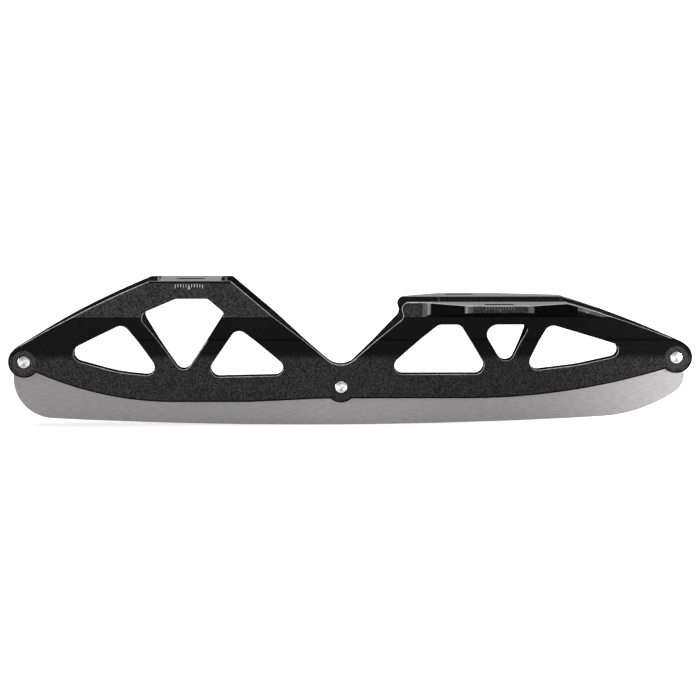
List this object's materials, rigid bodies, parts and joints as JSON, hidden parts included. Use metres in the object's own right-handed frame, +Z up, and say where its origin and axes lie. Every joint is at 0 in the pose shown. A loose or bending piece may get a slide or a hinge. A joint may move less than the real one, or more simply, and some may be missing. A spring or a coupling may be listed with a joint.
{
  "type": "ice skate blade",
  "caption": "Long steel ice blade clamped by cross bolts in a milled two-wall aluminium truss frame with a flat heel mount and a lower, winged front mount for a boot.",
  "frame": {"origin": "on the ice under the blade, in the middle of the length, on the blade's middle plane", "axes": "+X from heel to toe, +Y to the lateral (outer) side of a left skate, +Z up from the ice to the boot"},
  "size_m": [0.4058, 0.0864, 0.0872],
  "materials": {
    "anodised_frame": "bead-blasted, black anodised",
    "blade_steel": "brushed along the blade",
    "bolt_steel": "turned and zinc plated"
  },
  "bodies": {
    "root": {"frame": "anodised_frame", "blade": "blade_steel", "rear_axle_bolt": "bolt_steel", "middle_axle_bolt": "bolt_steel", "front_axle_bolt": "bolt_steel"}
  },
  "joints": []
}
